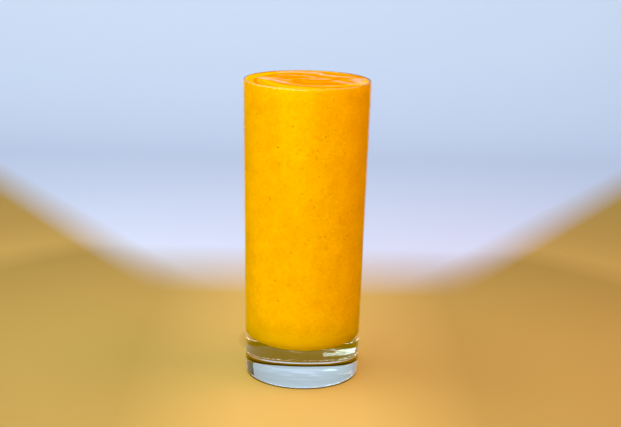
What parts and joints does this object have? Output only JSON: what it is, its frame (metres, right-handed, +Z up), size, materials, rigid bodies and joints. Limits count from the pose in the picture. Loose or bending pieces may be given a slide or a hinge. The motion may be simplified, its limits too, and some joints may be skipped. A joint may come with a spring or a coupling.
{
  "type": "glass of mango juice",
  "caption": "Tall straight-sided drinking glass with a heavy clear base, filled to the brim with thick mango juice.",
  "frame": {"origin": "on the glass's axis, at the centre of the ring that it stands on", "axes": "+Z up along the glass's axis, from the foot to the rim; X and Y are equal, as the glass is turned"},
  "size_m": [0.065, 0.065, 0.1552],
  "materials": {
    "clear_glass": "clear soda-lime glass with a fire-polished rim, smooth and glossy all over",
    "mango_juice": "opaque thick fruit juice with fine pulp, wet and glossy on its free surface"
  },
  "bodies": {
    "root": {"glass": "clear_glass", "mango_juice": "mango_juice"}
  },
  "joints": []
}
